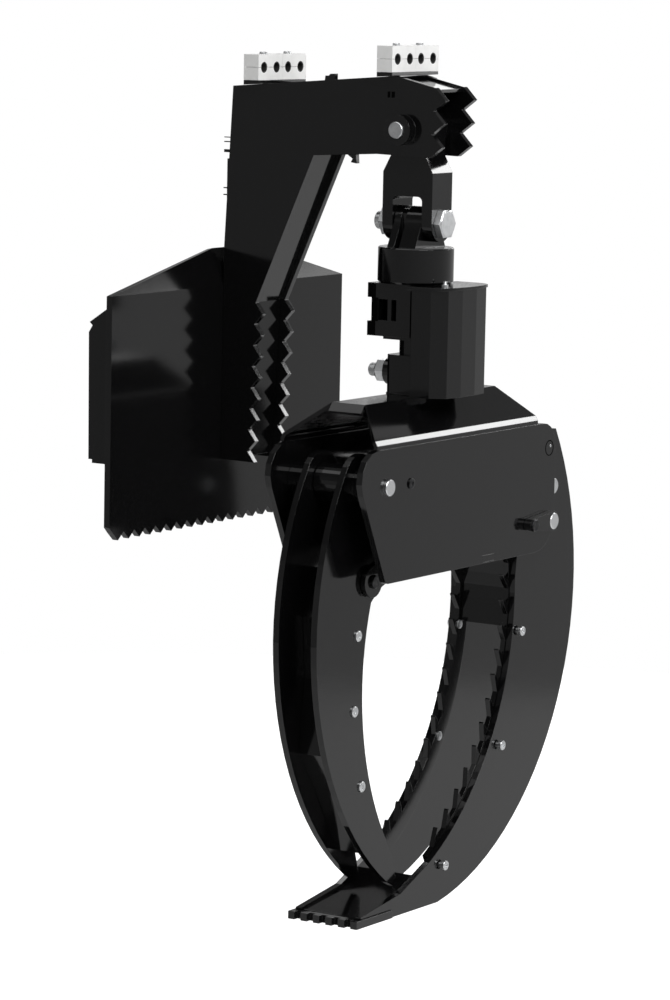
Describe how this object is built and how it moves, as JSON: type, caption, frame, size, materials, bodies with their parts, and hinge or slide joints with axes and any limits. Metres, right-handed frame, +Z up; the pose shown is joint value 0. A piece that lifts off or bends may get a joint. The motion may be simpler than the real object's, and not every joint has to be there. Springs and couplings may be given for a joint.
{
  "type": "log grapple",
  "caption": "Boom-mounted log grapple for a compact loader: a hanging link and rotator carry a head with curved bypassing tines worked by one cylinder and tie bars.",
  "frame": {"origin": "on the rear face of the back plate, in the boom's centre plane, level with the middle of the quick-attach receiver", "axes": "+X forward, away from the loader, +Y to the far side of the picture, +Z up"},
  "size_m": [0.4871, 0.7287, 1.3046],
  "materials": {
    "black_paint": "black powder coat, satin gloss",
    "zinc_steel": "zinc plated pins and bolts",
    "chrome_rod": "hard chrome, polished",
    "clamp_white": "matt white hose clamp halves"
  },
  "bodies": {
    "carrier": {"mount_plate": "black_paint", "receiver_side_near": "black_paint", "receiver_side_far": "black_paint", "receiver_top_lip": "black_paint", "receiver_bottom_ledge": "black_paint", "boom_side_near": "black_paint", "boom_side_far": "black_paint", "boom_top_cover": "black_paint", "boom_rear_cover": "black_paint", "boom_front_cover": "black_paint", "boom_pin": "zinc_steel", "clamp_base_rear": "black_paint", "clamp_base_front": "black_paint", "hose_clamp_lower_rear_near": "clamp_white", "hose_clamp_lower_rear_far": "clamp_white", "hose_clamp_lower_front_near": "clamp_white", "hose_clamp_lower_front_far": "clamp_white", "hose_clamp_upper_rear_near": "clamp_white", "hose_clamp_upper_rear_far": "clamp_white", "hose_clamp_upper_front_near": "clamp_white", "hose_clamp_upper_front_far": "clamp_white"},
    "link": {"swing_link": "black_paint", "cross_bolt": "zinc_steel", "cross_nut": "zinc_steel"},
    "stator": {"rotator_housing": "black_paint"},
    "head": {"rotator_shaft": "black_paint", "rotator_swivel_block": "black_paint", "shaft_socket": "black_paint", "shaft_lock_bolt": "zinc_steel", "shaft_lock_nut": "zinc_steel", "shaft_lock_spacer": "black_paint", "rotator_guard": "black_paint", "head_plate_near": "black_paint", "head_plate_far": "black_paint", "head_tie_plate": "black_paint", "head_roof": "black_paint", "left_pivot_pin": "zinc_steel", "left_pin_lock_bolt": "zinc_steel", "right_pivot_pin": "zinc_steel", "right_pin_lock_bolt": "zinc_steel"},
    "left_tine": {"left_tine_plate_near": "black_paint", "left_tine_plate_far": "black_paint", "left_tine_web": "black_paint", "left_tooth_strip_near": "black_paint", "left_tooth_strip_far": "black_paint", "left_tie_pin": "zinc_steel"},
    "right_tine": {"right_tine_plate_near": "black_paint", "right_tine_plate_far": "black_paint", "right_tine_web": "black_paint", "right_tine_scoop": "black_paint", "right_tip_plate": "black_paint", "right_tooth_strip_near": "black_paint", "right_tooth_strip_far": "black_paint", "right_tine_hub": "black_paint", "rod_pin": "zinc_steel", "right_tie_pin": "zinc_steel"},
    "cylinder": {"cylinder_barrel": "black_paint"},
    "rod": {"cylinder_rod": "chrome_rod"},
    "tie_bars": {"tie_bar_near": "black_paint", "tie_bar_far": "black_paint"}
  },
  "joints": [
    {"name": "link_swing", "type": "hinge", "parent": "carrier", "child": "link", "pos_m": [0.332, 0, 0.405], "axis": [0, 1, 0], "range_deg": [-60, 5]},
    {"name": "side_tilt", "type": "hinge", "parent": "link", "child": "stator", "pos_m": [0.332, 0, 0.265], "axis": [1, 0, 0], "range_deg": [-30, 30]},
    {"name": "rotate", "type": "hinge", "parent": "stator", "child": "head", "pos_m": [0.332, 0, 0.265], "axis": [0, 0, 1], "range_deg": [-25, 25]},
    {"name": "right_tine_open", "type": "hinge", "parent": "head", "child": "right_tine", "pos_m": [0.332, 0.261, -0.208], "axis": [1, 0, 0], "range_deg": [0, 36]},
    {"name": "left_tine_open", "type": "hinge", "parent": "head", "child": "left_tine", "pos_m": [0.332, -0.206, -0.111], "axis": [1, 0, 0], "range_deg": [-26.3, 0]},
    {"name": "cylinder_sway", "type": "hinge", "parent": "head", "child": "cylinder", "pos_m": [0.332, -0.206, -0.111], "axis": [1, 0, 0], "range_deg": [0, 2.6]},
    {"name": "rod_stroke", "type": "slide", "parent": "cylinder", "child": "rod", "axis": [0, 0.9954, -0.0953], "range_m": [-0.0388, 0]},
    {"name": "tie_bar_swing", "type": "hinge", "parent": "left_tine", "child": "tie_bars", "pos_m": [0.332, -0.178, -0.258], "axis": [1, 0, 0], "range_deg": [0, 26.3]}
  ],
  "couplings": [
    {"joint": "left_tine_open", "follows": "right_tine_open", "ratio": -0.728},
    {"joint": "cylinder_sway", "follows": "right_tine_open", "ratio": 0.07},
    {"joint": "rod_stroke", "follows": "right_tine_open", "m_per_rad": -0.0615},
    {"joint": "tie_bar_swing", "follows": "right_tine_open", "ratio": 0.728}
  ]
}
